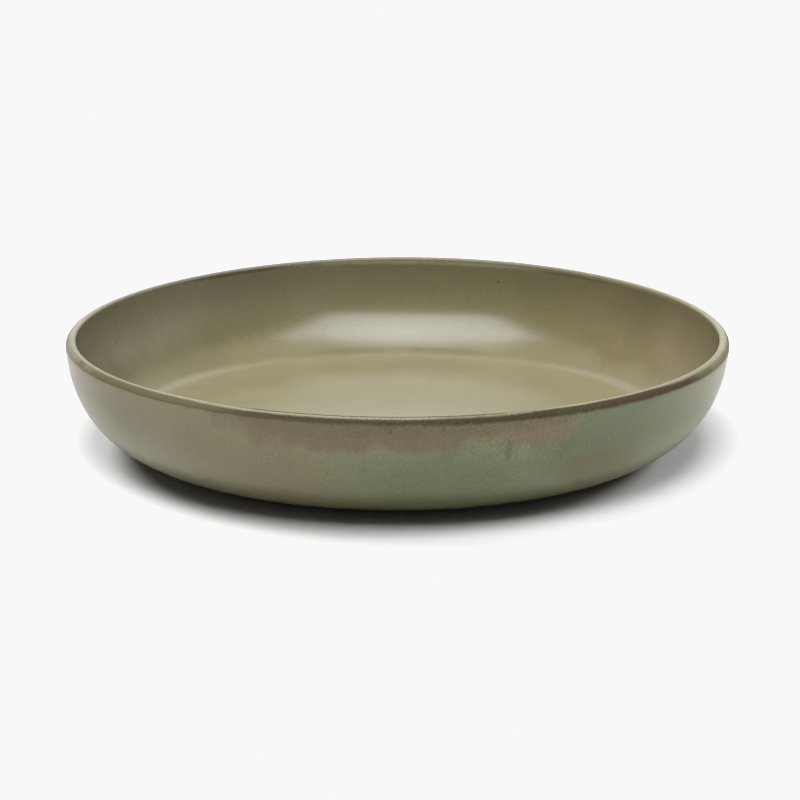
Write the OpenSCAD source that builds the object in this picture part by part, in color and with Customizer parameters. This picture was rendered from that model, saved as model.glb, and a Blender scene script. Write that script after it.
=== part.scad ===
// Wide shallow stoneware bowl: one fired clay body under four glaze coats.
// All sizes are in millimetres. The axis of the bowl is Z and it stands on the plane z = 0.

/* [Bowl] */
// Diameter over the widest part of the rim
bowl_d = 235; // [200:1:280]
// Height from the table to the top of the rim
bowl_h = 41; // [35:0.5:60]
// How far the wall swings out, from the edge of the flat base to the rim
wall_run = 36; // [28:0.5:45]
// Angle between the upright and the wall just below the lip
wall_lean = 3; // [0:0.5:12]
// Length over which the wall holds the direction that it has below the lip
wall_hold = 21; // [12:0.5:26]
// Length over which the belly holds the direction of the base
belly_hold = 22; // [12:0.5:28]
// Thickness of the wall below the lip, glaze included
wall_t = 3.7; // [3:0.1:6]
// Thickness of the floor, glaze included
floor_t = 4.3; // [3.2:0.1:7]

/* [Inside] */
// How far the inside swings out, from the edge of the flat floor to the rim
floor_run = 29.5; // [24:0.5:40]
// Radius of the turn from the floor up into the wall
turn_r = 15.5; // [8:0.5:24]
// Slope of the inside where that turn passes into the wall, from the level
turn_slope = 37; // [25:1:50]
// Length over which the inside holds the slope of the turn
rise_hold = 11.5; // [6:0.5:16]
// Length over which the inside holds the direction that it has below the lip
lip_hold = 14; // [6:0.5:20]

/* [Lip] */
// Radius of the outer edge of the lip
lip_outer_r = 2.4; // [1.2:0.1:3]
// Radius of the inner edge of the lip
lip_inner_r = 1; // [0.9:0.1:2]

/* [Foot] */
// Height of the foot ring
foot_h = 1.7; // [1:0.1:6]
// Distance from the edge of the flat base in to the foot ring
foot_inset = 9; // [4:0.5:30]
// Width of the foot ring
foot_w = 5; // [3:0.1:10]
// Radius of the worn lower edges of the foot ring
foot_edge_r = 0.6; // [0.2:0.1:1]

/* [Glaze] */
// Thickness of the fired glaze coats
glaze_t = 0.4; // [0.2:0.05:0.8]
// How far the rim glaze runs down the outside, below the rounding of the lip
rim_band = 0.4; // [0.2:0.1:6]

/* [Hidden] */
$fn = 180;

// Straight pieces in the curves of the wall, in the turn of the floor, and in each rounded edge
wall_steps = 24;
turn_steps = 10;
edge_steps = 6;

rim_r = bowl_d / 2;
base_r = rim_r - wall_run;
floor_z = foot_h + floor_t;
floor_r = rim_r - floor_run;
foot_outer_r = base_r - foot_inset;
foot_inner_r = foot_outer_r - foot_w;

// The two edges of the lip share the wall's thickness with a narrow flat, so a thin wall limits both
lip_flat = 0.2;
lip_edges = lip_outer_r + lip_inner_r + abs(lip_outer_r - lip_inner_r) * sin(wall_lean);
lip_share = min(1, (wall_t - lip_flat) / lip_edges);
outer_edge_r = lip_outer_r * lip_share;
inner_edge_r = lip_inner_r * lip_share;

// Directions of the wall just below the lip: down along it, and out of it
wall_down = [-sin(wall_lean), -cos(wall_lean)];
wall_out = [cos(wall_lean), -sin(wall_lean)];

// Middles of the lip's two rounded edges, and the top and bottom ends of the outer wall
outer_edge = [rim_r - outer_edge_r, bowl_h - outer_edge_r];
wall_top = outer_edge + outer_edge_r * wall_out + rim_band * wall_down;
wall_foot = [base_r, foot_h];
inner_edge_z = bowl_h - inner_edge_r;
inner_edge_x = wall_top.x
    + (inner_edge_r - wall_t - (inner_edge_z - wall_top.y) * wall_out.y) / wall_out.x;
inner_edge = [inner_edge_x, inner_edge_z];

// The turn of the floor, and the top end of the inner wall
turn_mid = [floor_r, floor_z + turn_r];
turn_end = turn_mid + turn_r * [sin(turn_slope), -cos(turn_slope)];
turn_up = [cos(turn_slope), sin(turn_slope)];
inner_top = wall_top - wall_t * wall_out;

// Each face of the wall is one cubic curve from the lip down: outside to the flat base, inside to the turn
outer_ctrl = [wall_top, wall_top + wall_hold * wall_down, wall_foot + [belly_hold, 0], wall_foot];
inner_ctrl = [inner_top, inner_top + lip_hold * wall_down, turn_end + rise_hold * turn_up, turn_end];
function curve_point(ctrl, u) =
    pow(1 - u, 3) * ctrl[0] + 3 * pow(1 - u, 2) * u * ctrl[1]
    + 3 * (1 - u) * u * u * ctrl[2] + pow(u, 3) * ctrl[3];
function curve_slope(ctrl, u) =
    pow(1 - u, 2) * (ctrl[1] - ctrl[0]) + 2 * (1 - u) * u * (ctrl[2] - ctrl[1])
    + u * u * (ctrl[3] - ctrl[2]);
function curve_normal(ctrl, u) = [-curve_slope(ctrl, u).y, curve_slope(ctrl, u).x] / norm(curve_slope(ctrl, u));

// A point of either face at a depth below the finished surface
function outer_at(u, depth) = curve_point(outer_ctrl, u) - depth * curve_normal(outer_ctrl, u);
function inner_at(u, depth) = curve_point(inner_ctrl, u) + depth * curve_normal(inner_ctrl, u);

function edge_arc(middle, r, from, to) =
    [for (i = [0 : edge_steps])
        let (a = from + (to - from) * i / edge_steps)
        middle + r * [cos(a), sin(a)]];
function reversed(line) = [for (i = [len(line) - 1 : -1 : 0]) line[i]];

// The bowl's skin in three stretches, each taken at a depth below the finished surface
function inside_line(depth) = concat(
    [[0, floor_z - depth]],
    [for (i = [0 : turn_steps - 1])
        let (a = turn_slope * i / turn_steps)
        turn_mid + (turn_r + depth) * [sin(a), -cos(a)]],
    [for (i = [wall_steps : -1 : 0]) inner_at(i / wall_steps, depth)]);
function lip_line(depth) = concat(
    edge_arc(inner_edge, inner_edge_r - depth, 180 - wall_lean, 90),
    edge_arc(outer_edge, outer_edge_r - depth, 90, -wall_lean),
    [outer_at(0, depth)]);
function outside_line(depth) = concat(
    [for (i = [1 : wall_steps]) outer_at(i / wall_steps, depth)],
    [[foot_outer_r, foot_h + depth]]);

// The bare foot ring, from its outer flank round to the middle of the base
function foot_line() = concat(
    edge_arc([foot_outer_r - foot_edge_r, foot_edge_r], foot_edge_r, 0, -90),
    edge_arc([foot_inner_r + foot_edge_r, foot_edge_r], foot_edge_r, -90, -180),
    [[foot_inner_r, foot_h + glaze_t], [0, foot_h + glaze_t]]);

// A coat lies between the finished surface and the clay below it
module coat(finished, clay) {
    rotate_extrude() polygon(concat(finished, reversed(clay)));
}

// Thrown and turned stoneware: floor, wall, lip and foot ring
module clay_body() {
    color("#b8ab92")
        rotate_extrude()
            polygon(concat(inside_line(glaze_t), lip_line(glaze_t), outside_line(glaze_t), foot_line()));
}

// Olive satin glaze over the floor and up the inside of the wall
module inside_glaze() {
    color("#948f70")
        coat(concat(inside_line(0), [lip_line(0)[0]]),
            concat(inside_line(glaze_t), [lip_line(glaze_t)[0]]));
}

// Thin brown glaze that breaks over the lip and a little way down the outside
module rim_glaze() {
    color("#56492f")
        coat(lip_line(0), lip_line(glaze_t));
}

// Mottled grey-green glaze from below the lip to the foot ring
module outside_glaze() {
    color("#7f806a")
        coat(concat([outer_at(0, 0)], outside_line(0)),
            concat([outer_at(0, glaze_t)], outside_line(glaze_t)));
}

// Glaze on the base within the foot ring
module base_glaze() {
    color("#8b886c")
        translate([0, 0, foot_h])
            cylinder(h = glaze_t, r = foot_inner_r);
}

clay_body();
inside_glaze();
rim_glaze();
outside_glaze();
base_glaze();
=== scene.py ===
"""A wide shallow stoneware bowl under satin reactive glaze, standing on a pale floor."""
import math

import bmesh
import bpy
from mathutils import Matrix, Vector


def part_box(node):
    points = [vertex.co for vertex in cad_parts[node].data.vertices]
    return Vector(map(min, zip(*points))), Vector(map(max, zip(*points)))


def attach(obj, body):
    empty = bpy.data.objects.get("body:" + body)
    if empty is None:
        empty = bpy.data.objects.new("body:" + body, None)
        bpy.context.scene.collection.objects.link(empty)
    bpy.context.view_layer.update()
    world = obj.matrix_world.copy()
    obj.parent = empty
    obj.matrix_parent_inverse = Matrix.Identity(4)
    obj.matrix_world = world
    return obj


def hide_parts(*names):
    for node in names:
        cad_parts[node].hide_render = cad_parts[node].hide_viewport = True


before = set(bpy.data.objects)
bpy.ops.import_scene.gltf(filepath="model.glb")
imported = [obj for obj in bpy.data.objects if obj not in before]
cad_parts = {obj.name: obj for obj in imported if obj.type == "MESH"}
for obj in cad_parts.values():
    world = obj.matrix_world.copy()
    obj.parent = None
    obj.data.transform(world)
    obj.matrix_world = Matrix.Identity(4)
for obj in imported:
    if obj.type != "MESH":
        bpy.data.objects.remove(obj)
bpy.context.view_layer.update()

# Clay body
# One piece of pressed stoneware: flat floor, curved wall, rounded lip, and a low foot ring turned underneath.
# Only the foot ring stays bare, so that the bowl doesn't stick to the kiln shelf. Glaze covers all the rest.
MM = 0.001
rim_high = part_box("rim_glaze")[1]
base_low, base_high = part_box("base_glaze")
rim_r = rim_high.x
bowl_h = rim_high.z
base_z = base_low.z
glaze_t = base_high.z - base_low.z
floor_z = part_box("inside_glaze")[0].z + glaze_t
foot_inner_r = base_high.x
foot_w = 5 * MM
foot_outer_r = foot_inner_r + foot_w
foot_edge_r = 0.6 * MM
wall_run = 36 * MM
wall_lean = 3
wall_hold = 21 * MM
belly_hold = 22 * MM
wall_t = 3.7 * MM
floor_run = 29.5 * MM
turn_r = 15.5 * MM
turn_slope = 37
rise_hold = 11.5 * MM
lip_hold = 14 * MM
lip_outer_r = 2.4 * MM
lip_inner_r = 1 * MM
rim_band = 0.4 * MM


def bearing(degrees):
    """The direction at an angle, in the plane of the bowl's profile: across, then up."""
    return Vector((math.cos(math.radians(degrees)), math.sin(math.radians(degrees))))


# The outer wall is one curve from the lip down to the flat base
wall_out = bearing(-wall_lean)
wall_down = bearing(-wall_lean - 90)
outer_edge = Vector((rim_r - lip_outer_r, bowl_h - lip_outer_r))
wall_top = outer_edge + lip_outer_r * wall_out + rim_band * wall_down
wall_foot = Vector((rim_r - wall_run, base_z))
outer_curve = (wall_top, wall_top + wall_hold * wall_down, wall_foot + Vector((belly_hold, 0)), wall_foot)

# The inner wall is a second curve from the lip down to the round turn at the edge of the floor
inner_edge_z = bowl_h - lip_inner_r
inner_edge_in = lip_inner_r - wall_t - (inner_edge_z - wall_top.y) * wall_out.y
inner_edge = Vector((wall_top.x + inner_edge_in / wall_out.x, inner_edge_z))
floor_r = rim_r - floor_run
turn_mid = Vector((floor_r, floor_z + turn_r))
turn_end = turn_mid + turn_r * bearing(turn_slope - 90)
turn_rise = turn_end + rise_hold * bearing(turn_slope)
inner_top = wall_top - wall_t * wall_out
inner_curve = (inner_top, inner_top + lip_hold * wall_down, turn_rise, turn_end)


def curve(ends, depth, rows):
    """Points down one face of the wall, moved out of the bowl's hollow by a depth."""
    a, b, c, d = ends
    points = []
    for i in range(rows + 1):
        u = i / rows
        v = 1 - u
        point = v**3 * a + 3 * v * v * u * b + 3 * v * u * u * c + u**3 * d
        slope = v * v * (b - a) + 2 * v * u * (c - b) + u * u * (d - c)
        points.append(point + depth * Vector((-slope.y, slope.x)).normalized())
    return points


def arc(middle, radius, start, end, rows):
    """Points along a round edge, with its angles in degrees."""
    return [middle + radius * bearing(start + (end - start) * i / rows) for i in range(rows + 1)]


def inside_line(depth, rows):
    """The inside from the middle of the floor up to the lip, at a depth below the finished glaze."""
    # The flat floor and the turn need fewer rows than the wall
    rings = rows // 4
    flat = [Vector((floor_r * i / rings, floor_z - depth)) for i in range(rings)]
    turn = arc(turn_mid, turn_r + depth, -90, turn_slope - 90, rows // 2)
    return flat + turn[:-1] + curve(inner_curve, depth, rows)[::-1]


def lip_line(depth, rows):
    """The lip from its inner edge over the top and down to the lower edge of the rim glaze."""
    inner = arc(inner_edge, lip_inner_r - depth, 180 - wall_lean, 90, rows)
    outer = arc(outer_edge, lip_outer_r - depth, 90, -wall_lean, rows)
    return inner + outer + [curve(outer_curve, -depth, 1)[0]]


def outside_line(depth, rows):
    """The outside from the lower edge of the rim glaze down to the flat base and in to the foot ring."""
    return curve(outer_curve, -depth, rows) + [Vector((foot_outer_r, base_z + depth))]


def foot_line(rows):
    """The bare foot ring, and the clay within it in to the middle."""
    up = foot_edge_r
    outer = arc(Vector((foot_outer_r - up, up)), up, 0, -90, rows)
    inner = arc(Vector((foot_inner_r + up, up)), up, -90, -180, rows)
    return outer + inner + [Vector((foot_inner_r, base_z + glaze_t)), Vector((0, base_z + glaze_t))]


# The kiln leaves the rim a few tenths of a millimetre out of true, in waves that fade towards the foot.
# A row is the number of waves, then the cosine and sine of their height and of their reach outwards, in mm.
KILN_WARP = ((2, 0.34, -0.24, -0.04, 0.27), (3, -0.15, 0.03, -0.07, -0.11))
WARP_FADE = 1.5


def warp_in_kiln(bm):
    """Moves each point with the waves of the rim, and keeps its place as it was turned."""
    as_turned = bm.verts.layers.float_vector.new("as_turned")
    for vert in bm.verts:
        vert[as_turned] = vert.co
        angle = math.atan2(vert.co.x, -vert.co.y)
        share = max(0, (vert.co.z - base_z) / (bowl_h - base_z)) ** WARP_FADE
        out = Vector((vert.co.x, vert.co.y, 0)).normalized()
        for waves, up_cos, up_sin, out_cos, out_sin in KILN_WARP:
            c, s = math.cos(waves * angle), math.sin(waves * angle)
            vert.co.z += share * MM * (up_cos * c + up_sin * s)
            vert.co += share * MM * (out_cos * c + out_sin * s) * out


AROUND = 480
SECTORS = 8
SAME_PLACE = 1e-3 * MM
CREASE = math.radians(40)


def turned(name, line, closed):
    """A line in the plane of the bowl's axis, spun into one piece and warped with the rest of the bowl."""
    bm = bmesh.new()
    verts = [bm.verts.new((p.x, 0, p.y)) for p in line]
    ends = verts[1:] + verts[:1] if closed else verts[1:]
    edges = [bm.edges.new(pair) for pair in zip(verts, ends)]
    around = {"cent": (0, 0, 0), "axis": (0, 0, 1)}
    bmesh.ops.spin(bm, geom=verts + edges, angle=2 * math.pi / SECTORS, steps=AROUND // SECTORS, **around)
    sector = bm.verts[:] + bm.edges[:] + bm.faces[:]
    bmesh.ops.spin(bm, geom=sector, angle=2 * math.pi, steps=SECTORS, use_merge=True, use_duplicate=True,
                   **around)
    bmesh.ops.remove_doubles(bm, verts=bm.verts, dist=SAME_PLACE)
    bmesh.ops.recalc_face_normals(bm, faces=bm.faces)
    warp_in_kiln(bm)
    mesh = bpy.data.meshes.new(name)
    bm.to_mesh(mesh)
    bm.free()
    mesh.shade_smooth()
    mesh.set_sharp_from_angle(angle=CREASE)
    piece = bpy.data.objects.new(name, mesh)
    bpy.context.scene.collection.objects.link(piece)
    return piece


def linear(hex_colour):
    """An sRGB hex colour as the linear colour that shaders take."""
    parts = [int(hex_colour[i:i + 2], 16) / 255 for i in (1, 3, 5)]
    return [p / 12.92 if p <= 0.04045 else ((p + 0.055) / 1.055) ** 2.4 for p in parts] + [1]


def add(tree, kind, inputs=None, **settings):
    """Adds a node with its settings, fills its inputs with values or outputs, and gives its own outputs."""
    made = tree.nodes.new("ShaderNode" + kind)
    for name, value in settings.items():
        setattr(made, name, value)
    for name, value in (inputs or {}).items():
        if isinstance(value, bpy.types.NodeSocket):
            tree.links.new(value, made.inputs[name])
        else:
            made.inputs[name].default_value = value
    return made.outputs


def new_material(name):
    """An empty material, its node tree, its shader, and the place on the bowl before the kiln warped it."""
    material = bpy.data.materials.new(name)
    material.use_nodes = True
    tree = material.node_tree
    place = add(tree, "Attribute", attribute_name="as_turned")["Vector"]
    return material, tree, tree.nodes["Principled BSDF"].inputs, place


# Rows of faces along a finished face of the wall, along what lies behind it, and round each edge
WALL_ROWS = 72
BACK_ROWS = 24
EDGE_ROWS = 20
clay_inside = inside_line(glaze_t, BACK_ROWS) + lip_line(glaze_t, EDGE_ROWS)
clay_outside = outside_line(glaze_t, BACK_ROWS)[1:] + foot_line(EDGE_ROWS)
clay = turned("clay_body_turned", clay_inside + clay_outside, closed=False)

# Bare fired stoneware: dry and buff, with sand that shows as grain and fine rings from the turning tool
GRIT = 0.5 * MM
TOOL_RING = 0.7 * MM
TOOL_RING_SHARE = 0.4
TOOTH = 0.08 * MM
# The ring pattern repeats after this length at a scale of 1
RING_REPEAT = 2 * math.pi / 20
bare, tree, shader, place = new_material("bare turned stoneware")
grit = add(tree, "TexNoise", {"Vector": place, "Scale": 1 / GRIT, "Detail": 3})["Fac"]
rings = add(tree, "TexWave", {"Vector": place, "Scale": RING_REPEAT / TOOL_RING, "Distortion": 1.2},
            wave_type="RINGS", rings_direction="Z")["Fac"]
buff = add(tree, "Mix", {0: grit, 6: linear("#9c8c70"), 7: linear("#cdbfa4")}, data_type="RGBA")[2]
tree.links.new(buff, shader["Base Color"])
shader["Roughness"].default_value = 0.85
rough = add(tree, "Math", {0: rings, 1: TOOL_RING_SHARE, 2: grit}, operation="MULTIPLY_ADD")["Value"]
tooth = add(tree, "Bump", {"Height": rough, "Strength": 0.6, "Distance": TOOTH})["Normal"]
tree.links.new(tooth, shader["Normal"])
clay.data.materials.append(bare)
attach(clay, "root")
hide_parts("clay_body")

# Base glaze
# A thin disc of the olive glaze on the underside, poured within the foot ring and fused to the clay.
# It ends at the inner flank of the ring, which is wiped clean before firing.
base_line = [Vector((0, base_z)), Vector((foot_inner_r, base_z)),
             Vector((foot_inner_r, base_z + glaze_t)), Vector((0, base_z + glaze_t))]
base = turned("base_glaze_disc", base_line, closed=False)

# A cloud reaches right through the wall. Noise frays its edge, and the mean of noise leaves the edge smooth.
CLOUD_DEEP = 60 * MM
CLOUD_FRAY = 0.7
CLOUD_EDGE = 0.4
CLOUD_FULL = 0.9
NOISE_MEAN = 0.5


def clouds(tree, place, colour, spots, fray):
    """Soft patches of other tints over a colour: clouds of other glaze, and in some tables painted highlight
    or shade.

    A spot is a tint, the degrees from the front towards +x, the distance from the axis, the height, the half
    width and the half height in millimetres, and a strength.
    """
    for tint, angle, radius, height, across, tall, strength in spots:
        turn = math.radians(angle)
        middle = (radius * MM * math.sin(turn), -radius * MM * math.cos(turn), height * MM)
        reach = (CLOUD_DEEP, across * MM, tall * MM)
        local = add(tree, "Mapping", {"Vector": place, "Location": middle, "Scale": reach,
                                      "Rotation": (0, 0, turn - math.pi / 2)},
                    vector_type="TEXTURE")["Vector"]
        cloud = add(tree, "TexGradient", {"Vector": local}, gradient_type="SPHERICAL")["Fac"]
        edge = add(tree, "Math", {0: fray, 1: CLOUD_FRAY, 2: cloud}, operation="MULTIPLY_ADD")["Value"]
        share = add(tree, "MapRange", {"Value": edge, "From Min": CLOUD_EDGE, "From Max": CLOUD_FULL,
                                       "To Max": strength}, interpolation_type="SMOOTHSTEP")["Result"]
        colour = add(tree, "Mix", {0: share, 6: colour, 7: linear(tint)}, data_type="RGBA")[2]
    return colour


# Sizes that all the glazes share: slow drift of the tone, sway and fray of the clouds, grain, dots and ripple
GLAZE_DRIFT = 22 * MM
GLAZE_SWAY = 14 * MM
GLAZE_FRAY = 8 * MM
GLAZE_GRAIN = 0.75 * MM
GLAZE_DOT = 1.1 * MM
GLAZE_RIPPLE = 12 * MM
RIPPLE_DEPTH = 0.012 * MM
# The edge and the heart of a dot, as shares of its cell, and how far drift, dots and grain change the glaze
DOT_EDGE = 0.42
DOT_HEART = 0.15
DRIFT_TONE = 0.04
DOT_TONE = 0.24
GRAIN_ROUGHNESS = 0.04
# Most of the drift's noise lies between these
NOISE_LOW = 0.3
NOISE_HIGH = 0.7


def glazed(name, ior, paint):
    """A fired glaze in the colours of a paint function, with fine grain, small dots and a slow ripple.

    The paint function gives the colour, the roughness, and how strongly the grain and the dots show.
    """
    material, tree, shader, place = new_material(name)
    drift = add(tree, "TexNoise", {"Vector": place, "Scale": 1 / GLAZE_DRIFT, "Detail": 3, "Roughness": 0.6})
    sway = add(tree, "VectorMath", {0: drift["Color"], 1: (NOISE_MEAN,) * 3}, operation="SUBTRACT")["Vector"]
    loose = add(tree, "VectorMath", {0: sway, 1: (GLAZE_SWAY,) * 3, 2: place},
                operation="MULTIPLY_ADD")["Vector"]
    fray = add(tree, "TexNoise", {"Vector": place, "Scale": 1 / GLAZE_FRAY, "Detail": 7,
                                  "Roughness": 0.68})["Fac"]
    colour, roughness, mottle = paint(tree, place, loose, fray)
    grain = add(tree, "TexNoise", {"Vector": place, "Scale": 1 / GLAZE_GRAIN, "Detail": 2,
                                   "Roughness": 0.7})["Fac"]
    sandy = add(tree, "Math", {0: grain, 1: NOISE_MEAN}, operation="SUBTRACT")["Value"]
    cells = add(tree, "TexVoronoi", {"Vector": place, "Scale": 1 / GLAZE_DOT})
    dot = add(tree, "MapRange", {"Value": cells["Distance"], "From Min": DOT_EDGE, "From Max": DOT_HEART})
    pale = add(tree, "MapRange", {"Value": cells["Color"], "To Min": -DOT_TONE, "To Max": DOT_TONE})
    fine = add(tree, "Math", {0: dot["Result"], 1: pale["Result"], 2: sandy}, operation="MULTIPLY_ADD")
    slow = add(tree, "MapRange", {"Value": drift["Fac"], "From Min": NOISE_LOW, "From Max": NOISE_HIGH,
                                  "To Min": 1 - DRIFT_TONE, "To Max": 1 + DRIFT_TONE})["Result"]
    value = add(tree, "Math", {0: fine["Value"], 1: mottle, 2: slow}, operation="MULTIPLY_ADD")["Value"]
    varied = add(tree, "HueSaturation", {"Value": value, "Color": colour})["Color"]
    tree.links.new(varied, shader["Base Color"])
    uneven = add(tree, "MapRange", {"Value": grain, "To Min": -GRAIN_ROUGHNESS, "To Max": GRAIN_ROUGHNESS})
    sandy_satin = add(tree, "Math", {0: roughness, 1: uneven["Result"]}, operation="ADD")["Value"]
    tree.links.new(sandy_satin, shader["Roughness"])
    shader["IOR"].default_value = ior
    ripple = add(tree, "TexNoise", {"Vector": place, "Scale": 1 / GLAZE_RIPPLE, "Detail": 1})["Fac"]
    bump = add(tree, "Bump", {"Height": ripple, "Strength": 1, "Distance": RIPPLE_DEPTH})["Normal"]
    tree.links.new(bump, shader["Normal"])
    return material


SATIN = 0.23
OLIVE_IOR = 1.53
BASE_MOTTLE = 0.3


def base_paint(tree, place, loose, fray):
    """Plain olive, as on the floor inside."""
    return linear("#7b7558"), SATIN, BASE_MOTTLE


# Olive satin glaze, poured and fired: one even colour with a soft broad sheen
base.data.materials.append(glazed("olive satin glaze, base", OLIVE_IOR, base_paint))
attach(base, "root")
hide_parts("base_glaze")

# Inside glaze
# The olive coat that the food touches: over the floor, round the turn and up the wall to the lip.
# Poured in and swirled out while fluid. It is painted paler on the floor and darker up the wall.
inside_face = inside_line(0, WALL_ROWS) + lip_line(0, EDGE_ROWS)[:1]
inside_back = inside_line(glaze_t, BACK_ROWS) + lip_line(glaze_t, EDGE_ROWS)[:1]
inside = turned("inside_glaze_coat", inside_face + inside_back[::-1], closed=False)

# A zone is a tint, and where it starts and is full on the way up the inside.
# The way up is the distance from the axis plus the height over the floor, in millimetres.
FLOOR_OLIVE = "#888369"
INSIDE_ZONES = (
    ("#7f795d", 58, 80),
    ("#817b60", 83, 91),
    ("#767156", 93, 101),
    ("#6b664a", 102, 118),
    ("#6e6a4d", 130, 146),
)
INSIDE_CLOUDS_AND_HIGHLIGHTS = (
    ("#7f7c66", -116, 112, 35, 80, 26, 0.8),
    ("#87836b", -110, 111, 34, 50, 20, 0.65),
    ("#716b53", -154, 112, 34, 44, 16, 0.6),
    ("#7d775c", -124, 97, 9, 44, 9, 0.4),
    ("#7a7054", 120, 111, 31, 64, 25, 0.85),
    ("#8c8165", 103, 112, 30, 44, 24, 0.8),
    ("#837b5e", 120, 99, 9, 44, 9, 0.65),
    # These two pale spots by the lower corners of the long highlight inside are painted highlight
    ("#827c60", 147, 98, 10, 30, 10, 0.55),
    ("#827c60", -150, 99, 11, 26, 9, 0.5),
    ("#706a4b", 150, 111, 26, 46, 22, 0.5),
    ("#6d684b", 20, 111, 27, 60, 20, 0.6),
    ("#766b4f", -40, 111, 30, 50, 18, 0.6),
    ("#78735a", 66, 111, 26, 46, 20, 0.6),
)
INSIDE_SPECKS_AND_HIGHLIGHT = (
    ("#3a3424", -109.6, 111.4, 26.3, 1.1, 0.9, 0.25),
    ("#3a3424", 159.2, 113.2, 33.1, 1.1, 0.8, 0.5),
    # A pale band along the far inner edge of the lip: partly the pale crest, partly painted highlight
    ("#8f8a72", 172, 113.9, 40.3, 80, 2.6, 0.85),
    ("#54452f", -146, 113.9, 39.8, 30, 1.2, 0.7),
    ("#554a33", 141, 113.9, 39.2, 30, 1.2, 0.5),
)
CREST_PALE = "#8b866c"
CREST_CLOUDS = (
    ("#7a7660", 180, 115, 41, 190, 60, 0.9),
    ("#7a766a", -132, 115, 41, 90, 60, 0.8),
    ("#6a654b", 17, 115, 41, 30, 8, 0.7),
    ("#7b7766", -66, 115, 41, 66, 8, 0.95),
    ("#7d775f", 54, 115, 41, 58, 8, 0.9),
)
# Mottle grows on the way up. The crest starts and is full this far below the rim, and lower towards +x.
MOTTLE_START = 94 * MM
MOTTLE_FULL = 112 * MM
FLOOR_MOTTLE = 0.1
WALL_MOTTLE = 0.4
CREST_START = 1.55 * MM
CREST_FULL = 0.85 * MM
CREST_TILT = 0.005


def from_axis(tree, place):
    """The distance of a place from the bowl's axis, and its three coordinates."""
    parts = add(tree, "SeparateXYZ", {"Vector": place})
    flat = add(tree, "CombineXYZ", {"X": parts["X"], "Y": parts["Y"]})["Vector"]
    return add(tree, "VectorMath", {0: flat}, operation="LENGTH")["Value"], parts


def inside_paint(tree, place, loose, fray):
    """Olive that darkens from the floor up the wall, and breaks to a pale edge on the lip."""
    across, parts = from_axis(tree, loose)
    way_up = add(tree, "Math", {0: across, 1: parts["Z"]}, operation="ADD")["Value"]
    colour = linear(FLOOR_OLIVE)
    for tint, start, end in INSIDE_ZONES:
        share = add(tree, "MapRange", {"Value": way_up, "From Min": start * MM + floor_z,
                                       "From Max": end * MM + floor_z},
                    interpolation_type="SMOOTHSTEP")["Result"]
        colour = add(tree, "Mix", {0: share, 6: colour, 7: linear(tint)}, data_type="RGBA")[2]
    colour = clouds(tree, loose, colour, INSIDE_CLOUDS_AND_HIGHLIGHTS, NOISE_MEAN)
    colour = clouds(tree, place, colour, INSIDE_SPECKS_AND_HIGHLIGHT, fray)
    mottle = add(tree, "MapRange", {"Value": way_up, "From Min": MOTTLE_START + floor_z,
                                    "From Max": MOTTLE_FULL + floor_z,
                                    "To Min": FLOOR_MOTTLE, "To Max": WALL_MOTTLE})["Result"]
    crest = clouds(tree, place, linear(CREST_PALE), CREST_CLOUDS, fray)
    still = from_axis(tree, place)[1]
    tilted = add(tree, "Math", {0: still["X"], 1: CREST_TILT, 2: still["Z"]}, operation="MULTIPLY_ADD")
    on_lip = add(tree, "MapRange", {"Value": tilted["Value"], "From Min": bowl_h - CREST_START,
                                    "From Max": bowl_h - CREST_FULL},
                 interpolation_type="SMOOTHSTEP")["Result"]
    return add(tree, "Mix", {0: on_lip, 6: colour, 7: crest}, data_type="RGBA")[2], SATIN, mottle


# Olive satin glaze, poured and fired: a soft broad sheen, paler on the floor, with faint sandy mottle
inside.data.materials.append(glazed("olive satin glaze, inside", OLIVE_IOR, inside_paint))
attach(inside, "root")
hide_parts("inside_glaze")

# Outside glaze
# The reactive coat on the outside, dipped over the wall and under the belly as far as the foot ring.
# Minerals in it part in the kiln, so khaki lies beside grey-green and pink-brown with frayed, speckled edges.
# A shallow groove, barely felt, runs round the wall below the lip.
NECK_Z = 34 * MM
NECK_DEPTH = 0.12 * MM
NECK_HALF = 1.6 * MM
outside_face = outside_line(0, WALL_ROWS)
for point in outside_face[1:]:
    point.x -= NECK_DEPTH * math.exp(-0.5 * ((point.y - NECK_Z) / NECK_HALF) ** 2)
outside_back = outside_line(glaze_t, BACK_ROWS)
outside = turned("outside_glaze_coat", outside_face + outside_back[::-1], closed=True)

KHAKI = "#706a4d"
OUTSIDE_CLOUDS = (
    ("#68714f", 15, 113, 20, 68, 22, 0.95),
    ("#566040", 7.5, 113, 18, 32, 14, 0.4),
    ("#63573d", -4, 117, 36.8, 68, 10, 0.95),
    ("#5d6647", 42, 117, 33, 56, 22, 0.9),
    ("#6d6e4b", 62, 115, 26, 56, 26, 0.8),
    ("#6d6049", 23.5, 117, 34.5, 20, 9, 0.95),
    ("#625836", 36, 112, 17, 24, 10, 0.7),
    ("#595236", 0, 117, 38, 80, 5, 0.7),
    ("#645c3d", -66, 116, 28, 50, 26, 0.8),
    ("#535c39", 100, 113, 22, 60, 20, 0.8),
    ("#615535", 130, 117, 32, 52, 13, 0.7),
    ("#575f3c", 152, 116, 27, 56, 20, 0.8),
    ("#605233", -174, 117, 33, 60, 13, 0.8),
    ("#505a37", -158, 112, 18, 64, 18, 0.85),
    ("#645d3d", -124, 116, 27, 50, 20, 0.6),
    ("#5b603e", -98, 117, 30, 42, 20, 0.5),
)
# A dark speck below the band, then a small dent in the wall: its dark crease is painted shade and the pale
# spot beside it painted highlight
OUTSIDE_SPECKS_AND_DENT_SHADING = (
    ("#33301f", -1, 117.3, 36.9, 1.0, 0.9, 0.55),
    ("#3f4229", 17.7, 116.6, 28.6, 1.3, 5.5, 0.4),
    ("#757a62", 20.4, 116.6, 28.0, 3.2, 4.2, 0.5),
)
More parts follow.
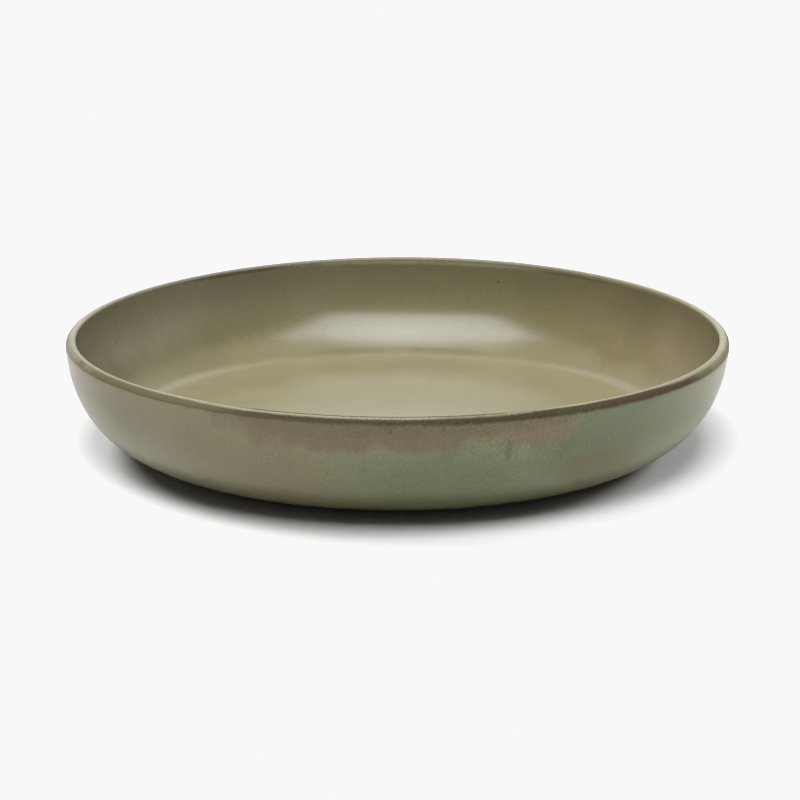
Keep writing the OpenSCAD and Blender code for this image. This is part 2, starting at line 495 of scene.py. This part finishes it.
# Where the wall turns under, the coat is drier, and painted darker: partly its own darker olive, partly
# painted shade
UNDER_OLIVE_AND_SHADE = "#32351e"
UNDER_START = 15.5 * MM
UNDER_FULL = 9 * MM
UNDER_SHARE = 0.4
# Below the lip the coat thins to brown. Its edge frays, runs lower towards +x and has a dark line along it.
THIN_BROWN = "#3d3723"
BROWN_CLOUDS = (
    ("#5b563a", -48, 117, 40, 60, 12, 0.95),
    ("#807b69", -86, 117, 40, 62, 12, 0.95),
    ("#35311a", 17, 117, 40, 24, 12, 0.9),
    ("#413426", 47, 117, 40, 44, 12, 0.95),
    ("#76715a", 80, 117, 40, 56, 12, 0.95),
    ("#544c33", 120, 117, 40, 48, 12, 0.8),
    ("#443a26", 165, 117, 40, 42, 12, 0.8),
    ("#5a5137", -140, 117, 40, 54, 12, 0.9),
)
THIN_START = 2.2 * MM
THIN_FULL = 0.8 * MM
THIN_FRAY = 1.2 * MM
THIN_TILT = 0.004
DARK_LINE = (("#332f1b", -40, 117, 39, 66, 14, 0.95),)
LINE_START = 1.1 * MM
LINE_FULL = 1.4 * MM
# Roughness of the coat on the wall, where it turns under, and where it is thin
WALL_SATIN = 0.33
UNDER_DRY = 0.6
THIN_DRY = 0.9
# Grain and dots show most where this map of greys is pale
BLACK = "#000000"
SPECKLED = (
    ("#909090", 10, 116, 28, 110, 34, 1),
    ("#d0d0d0", 19, 117, 35, 30, 11, 1),
    ("#ffffff", 14, 117, 42, 70, 8, 1),
    ("#c0c0c0", -168, 116, 30, 110, 34, 1),
)
LEAST_MOTTLE = 0.45
MOST_MOTTLE = 1.7
REACTIVE_IOR = 1.43


def outside_paint(tree, place, loose, fray):
    """Khaki under the clouds, darker where the wall turns under (part painted shade), brown where the coat
    thins below the lip.
    """
    colour = clouds(tree, loose, linear(KHAKI), OUTSIDE_CLOUDS, fray)
    colour = clouds(tree, place, colour, OUTSIDE_SPECKS_AND_DENT_SHADING, fray)
    parts = add(tree, "SeparateXYZ", {"Vector": place})
    # Darker towards the bottom of the wall: partly the glaze's own colour, partly painted shade
    under = add(tree, "MapRange", {"Value": parts["Z"], "From Min": UNDER_START, "From Max": UNDER_FULL,
                                   "To Max": UNDER_SHARE}, interpolation_type="SMOOTHSTEP")["Result"]
    colour = add(tree, "Mix", {0: under, 6: colour, 7: linear(UNDER_OLIVE_AND_SHADE)}, data_type="RGBA")[2]
    brown = clouds(tree, loose, linear(THIN_BROWN), BROWN_CLOUDS, fray)
    tilted = add(tree, "Math", {0: parts["X"], 1: THIN_TILT, 2: parts["Z"]}, operation="MULTIPLY_ADD")
    frayed = add(tree, "Math", {0: fray, 1: THIN_FRAY, 2: tilted["Value"]}, operation="MULTIPLY_ADD")["Value"]
    thin = add(tree, "MapRange", {"Value": frayed, "From Min": bowl_h - THIN_START,
                                  "From Max": bowl_h - THIN_FULL},
               interpolation_type="SMOOTHSTEP")["Result"]
    banded = add(tree, "Mix", {0: thin, 6: colour, 7: brown}, data_type="RGBA")[2]
    below = add(tree, "MapRange", {"Value": frayed, "From Min": bowl_h - LINE_START,
                                   "From Max": bowl_h - LINE_FULL},
                interpolation_type="SMOOTHSTEP")["Result"]
    line = add(tree, "Math", {0: below, 1: thin}, operation="MULTIPLY")["Value"]
    lined = clouds(tree, place, banded, DARK_LINE, fray)
    colour = add(tree, "Mix", {0: line, 6: banded, 7: lined}, data_type="RGBA")[2]
    low = add(tree, "MapRange", {"Value": under, "To Min": WALL_SATIN, "To Max": UNDER_DRY})["Result"]
    roughness = add(tree, "MapRange", {"Value": thin, "To Min": low, "To Max": THIN_DRY})["Result"]
    speckled = clouds(tree, place, linear(BLACK), SPECKLED, fray)
    mottle = add(tree, "MapRange", {"Value": speckled, "To Min": LEAST_MOTTLE, "To Max": MOST_MOTTLE})
    return colour, roughness, mottle["Result"]


# Mottled reactive glaze, dipped and fired: a duller sheen than inside, and frayed clouds with fine dots
outside.data.materials.append(glazed("mottled reactive glaze", REACTIVE_IOR, outside_paint))
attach(outside, "root")
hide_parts("outside_glaze")

# Rim glaze
# The thin coat over the lip, where both glazes run off the edge in the kiln and leave little on it.
# It is pale on the crest and breaks to dry brown over the outer edge, in a band with two broader spots.
rim = turned("rim_glaze_band", lip_line(0, EDGE_ROWS) + lip_line(glaze_t, EDGE_ROWS)[::-1], closed=True)

# A thin brown line follows part of the lip's inner edge, and fades out over these distances from its middle
EDGE_BROWN = "#332c1b"
EDGE_LINE = (("#ffffff", -4, 114.6, 41, 66, 10, 0.9),)
EDGE_START = 0.85 * MM
EDGE_FULL = 0.45 * MM
# The brown of the outside begins at these distances out from the middle of the lip's outer edge.
# At the broad spots it begins nearer in.
BROAD_SPOTS = (
    ("#ffffff", 35, 115, 41, 40, 12, 1),
    ("#ffffff", -54, 115, 41, 62, 12, 1),
)
BROAD_BY = 0.65 * MM
OVER_START = 1.25 * MM
OVER_FULL = 2.2 * MM
OVER_FRAY = 0.8 * MM
WORN = 0.45
RIM_IOR = 1.4


def rim_paint(tree, place, loose, fray):
    """The pale crest of the inside, the brown of the outside, and a thin brown line along the inner edge."""
    crest = inside_paint(tree, place, loose, fray)[0]
    outer, dry, mottle = outside_paint(tree, place, loose, fray)
    across = from_axis(tree, place)[0]
    inner = add(tree, "MapRange", {"Value": across, "From Min": inner_edge.x + EDGE_START,
                                   "From Max": inner_edge.x + EDGE_FULL},
                interpolation_type="SMOOTHSTEP")["Result"]
    near = clouds(tree, place, linear(BLACK), EDGE_LINE, fray)
    line = add(tree, "Math", {0: inner, 1: near}, operation="MULTIPLY")["Value"]
    lined = add(tree, "Mix", {0: line, 6: crest, 7: linear(EDGE_BROWN)}, data_type="RGBA")[2]
    broad = clouds(tree, place, linear(BLACK), BROAD_SPOTS, NOISE_MEAN)
    wider = add(tree, "MapRange", {"Value": broad, "To Max": BROAD_BY})["Result"]
    spread = add(tree, "Math", {0: across, 1: wider}, operation="ADD")["Value"]
    frayed = add(tree, "Math", {0: fray, 1: OVER_FRAY, 2: spread}, operation="MULTIPLY_ADD")["Value"]
    over = add(tree, "MapRange", {"Value": frayed, "From Min": outer_edge.x + OVER_START,
                                  "From Max": outer_edge.x + OVER_FULL},
               interpolation_type="SMOOTHSTEP")["Result"]
    colour = add(tree, "Mix", {0: over, 6: lined, 7: outer}, data_type="RGBA")[2]
    brown = add(tree, "Math", {0: over, 1: line}, operation="MAXIMUM")["Value"]
    roughness = add(tree, "MapRange", {"Value": brown, "To Min": WORN, "To Max": dry})["Result"]
    return colour, roughness, mottle


# Breaking glaze, run thin off an edge and fired: worn sheen on the crest, dry brown where the clay shows
rim.data.materials.append(glazed("breaking rim glaze", RIM_IOR, rim_paint))
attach(rim, "root")
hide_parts("rim_glaze")

# Floor
# A sheet of white paper under the bowl, so much wider than the view that its edges never show.
# It lies flat under the foot ring and takes the bowl's soft shadow.
FLOOR_HALF = 6
floor_mesh = bpy.data.meshes.new("floor")
bm = bmesh.new()
bmesh.ops.create_grid(bm, x_segments=2, y_segments=2, size=FLOOR_HALF)
bm.to_mesh(floor_mesh)
bm.free()
floor = bpy.data.objects.new("floor", floor_mesh)
bpy.context.scene.collection.objects.link(floor)

# Uncoated white paper: plain and pale, with no gloss at all
paper = bpy.data.materials.new("white paper")
paper.use_nodes = True
paper_shader = paper.node_tree.nodes["Principled BSDF"].inputs
paper_shader["Base Color"].default_value = linear("#cecece")
paper_shader["Roughness"].default_value = 1
paper_shader["Specular IOR Level"].default_value = 0
floor.data.materials.append(paper)

# Light
# Level softboxes hang high over the bowl. A wide panel with a brighter core lights the bowl alone.
# Three more light the paper alone, from the front and from behind on each side, and shape its shadow.
LIGHT_H = 20
SOFTBOX_TURN = math.radians(-4)


def softbox(name, across, along, place_x, place_y, radiance, lit):
    """A level rectangle of light over a collection, with its sizes and place as shares of its height."""
    light = bpy.data.lights.new(name, "AREA")
    light.shape = "RECTANGLE"
    light.size = across * LIGHT_H
    light.size_y = along * LIGHT_H
    light.energy = radiance * math.pi * light.size * light.size_y
    lamp = bpy.data.objects.new(name, light)
    lamp.location = (place_x * LIGHT_H, place_y * LIGHT_H, LIGHT_H)
    lamp.rotation_euler.z = SOFTBOX_TURN
    lamp.visible_camera = False
    lamp.light_linking.receiver_collection = lit
    bpy.context.scene.collection.objects.link(lamp)


bowl_only = bpy.data.collections.new("bowl_only")
for piece in (clay, base, inside, outside, rim):
    bowl_only.objects.link(piece)
softbox("softbox_panel", 1.16, 0.68, -0.1, -0.36, 5.7, bowl_only)
softbox("softbox_core", 0.72, 0.43, -0.08, -0.265, 7.25, bowl_only)
paper_only = bpy.data.collections.new("paper_only")
paper_only.objects.link(floor)
softbox("paper_front", 0.53, 0.82, 0.01, -0.5, 12.2, paper_only)
softbox("paper_left", 0.64, 0.95, -0.81, 0.47, 14.2, paper_only)
softbox("paper_right", 0.83, 1.42, 1.53, 0.6, 12.6, paper_only)

# The room is dim. It grows a little lighter towards the front, and has one pale wall behind the bowl.
# Each change starts and is full at a share of the direction that points back, or for the wall's sides, aside.
ROOM_DIM = 0.08
ROOM_FRONT = 0.18
FRONT_START = -0.1
FRONT_FULL = -0.8
PALE_WALL = 1.5
WALL_START = 0.48
WALL_FULL = 0.62
WALL_SIDE_START = 0.55
WALL_SIDE_FULL = 0.3
world = bpy.data.worlds.new("studio")
world.use_nodes = True
room = world.node_tree
facing = add(room, "SeparateXYZ", {"Vector": add(room, "TexCoord")["Generated"]})
behind = add(room, "MapRange", {"Value": facing["Y"], "From Min": WALL_START, "From Max": WALL_FULL,
                                "To Max": PALE_WALL},
             interpolation_type="SMOOTHSTEP")["Result"]
aside = add(room, "Math", {0: facing["X"]}, operation="ABSOLUTE")["Value"]
narrow = add(room, "MapRange", {"Value": aside, "From Min": WALL_SIDE_START, "From Max": WALL_SIDE_FULL},
             interpolation_type="SMOOTHSTEP")["Result"]
before = add(room, "MapRange", {"Value": facing["Y"], "From Min": FRONT_START, "From Max": FRONT_FULL,
                                "To Min": ROOM_DIM, "To Max": ROOM_FRONT},
             interpolation_type="SMOOTHSTEP")["Result"]
glow = add(room, "Math", {0: behind, 1: narrow, 2: before}, operation="MULTIPLY_ADD")["Value"]
backdrop = room.nodes["Background"].inputs
backdrop["Color"].default_value = (1, 1, 1, 1)
room.links.new(glow, backdrop["Strength"])
bpy.context.scene.world = world

# The picture's white stops a little short of full white
PICTURE_WHITE = 0.94
view = bpy.context.scene.view_settings
view.view_transform = "Standard"
view.use_curve_mapping = True
view.curve_mapping.extend = "HORIZONTAL"
all_channels = view.curve_mapping.curves[3]
all_channels.points[1].location = (PICTURE_WHITE, PICTURE_WHITE)
view.curve_mapping.update()

# Camera
# A long lens a little above the rim, so that the near wall, the lip and part of the floor inside all show.
# Its elevation is that of its place over the middle of the rim, and its pitch is how far it looks down.
CAMERA_ELEVATION = math.radians(14.095)
CAMERA_DISTANCE = 900 * MM
CAMERA_ACROSS = 1.0 * MM
CAMERA_PITCH = math.radians(15.725)
CAMERA_ROLL = math.radians(-0.096)
SENSOR_WIDTH = 36
LENS = 113.5
camera_data = bpy.data.cameras.new("camera")
camera_data.sensor_width = SENSOR_WIDTH
camera_data.lens = LENS
camera = bpy.data.objects.new("camera", camera_data)
camera_back = CAMERA_DISTANCE * math.cos(CAMERA_ELEVATION)
camera_up = CAMERA_DISTANCE * math.sin(CAMERA_ELEVATION)
camera_place = Matrix.Translation((CAMERA_ACROSS, -camera_back, bowl_h + camera_up))
camera_turn = Matrix.Rotation(math.pi / 2 - CAMERA_PITCH, 4, "X") @ Matrix.Rotation(CAMERA_ROLL, 4, "Z")
camera.matrix_world = camera_place @ camera_turn
bpy.context.scene.collection.objects.link(camera)
bpy.context.scene.camera = camera
